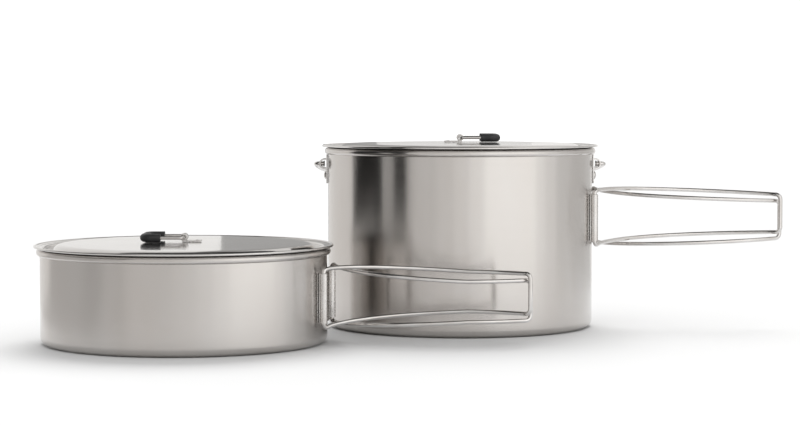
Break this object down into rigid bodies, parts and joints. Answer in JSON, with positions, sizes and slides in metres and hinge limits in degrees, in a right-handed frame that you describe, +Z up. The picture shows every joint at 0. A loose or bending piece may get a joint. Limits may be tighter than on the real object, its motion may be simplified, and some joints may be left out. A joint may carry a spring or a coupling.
{
  "type": "camping cooking pot set",
  "caption": "Stainless steel camping cookware: a deep pot with a bail and a shallow pot, each with a lid, folding lid pull and folding wire side handle.",
  "frame": {"origin": "centre of the deep pot's base, on the surface that it stands on", "axes": "+Z up, +X along the deep pot's side handle to within 2 degrees, +Y towards the side where the bail rests"},
  "size_m": [0.5007, 0.3074, 0.1333],
  "materials": {
    "satin_steel": "spun satin with fine lines round the wall",
    "polished_steel": "polished, with faint spinning lines",
    "bright_steel": "bright drawn wire and pressed strap",
    "black_rubber": "matte"
  },
  "bodies": {
    "large_pot": {"large_pot_body": "satin_steel", "large_handle_bracket": "bright_steel", "bail_ear_left": "bright_steel", "bail_ear_right": "bright_steel", "bail_ear_rivet_left": "bright_steel", "bail_ear_rivet_right": "bright_steel"},
    "large_lid": {"large_lid": "polished_steel", "large_lid_strap": "bright_steel"},
    "large_pull": {"large_lid_pull_wire": "bright_steel", "large_lid_sleeve": "black_rubber"},
    "large_handle_near": {"large_handle_near_wire": "bright_steel"},
    "large_handle_far": {"large_handle_far_wire": "bright_steel"},
    "small_pot": {"small_pot_body": "satin_steel", "small_handle_bracket": "bright_steel"},
    "small_lid": {"small_lid": "polished_steel", "small_lid_strap": "bright_steel"},
    "small_pull": {"small_lid_pull_wire": "bright_steel", "small_lid_sleeve": "black_rubber"},
    "small_handle_near": {"small_handle_near_wire": "bright_steel"},
    "small_handle_far": {"small_handle_far_wire": "bright_steel"},
    "bail": {"bail_wire": "bright_steel"}
  },
  "joints": [
    {"name": "small_pot_lift", "type": "slide", "parent": "large_pot", "child": "small_pot", "axis": [0, 0, 1], "range_m": [0, 0.12]},
    {"name": "large_lid_lift", "type": "slide", "parent": "large_pot", "child": "large_lid", "axis": [0, 0, 1], "range_m": [0, 0.12]},
    {"name": "large_pull_fold", "type": "hinge", "parent": "large_lid", "child": "large_pull", "pos_m": [0, 0, 0.1307], "axis": [0, -1, 0], "range_deg": [0, 178]},
    {"name": "large_handle_near_fold", "type": "hinge", "parent": "large_pot", "child": "large_handle_near", "pos_m": [0.09159, -0.02521, 0.0762], "axis": [0, 0, -1], "range_deg": [0, 155]},
    {"name": "large_handle_far_fold", "type": "hinge", "parent": "large_pot", "child": "large_handle_far", "pos_m": [0.09313, 0.01876, 0.0762], "axis": [0, 0, 1], "range_deg": [0, 155]},
    {"name": "small_lid_lift", "type": "slide", "parent": "small_pot", "child": "small_lid", "axis": [0, 0, 1], "range_m": [0, 0.12]},
    {"name": "small_pull_fold", "type": "hinge", "parent": "small_lid", "child": "small_pull", "pos_m": [-0.1813, -0.1105, 0.0684], "axis": [0, 1, 0], "range_deg": [0, 178]},
    {"name": "small_handle_near_fold", "type": "hinge", "parent": "small_pot", "child": "small_handle_near", "pos_m": [-0.09013, -0.14056, 0.0309], "axis": [0, 0, -1], "range_deg": [0, 155]},
    {"name": "small_handle_far_fold", "type": "hinge", "parent": "small_pot", "child": "small_handle_far", "pos_m": [-0.08629, -0.09673, 0.0309], "axis": [0, 0, 1], "range_deg": [0, 17]},
    {"name": "bail_swing", "type": "hinge", "parent": "large_pot", "child": "bail", "pos_m": [0, 0, 0.1126], "axis": [1, 0, 0], "range_deg": [0, 198]}
  ]
}
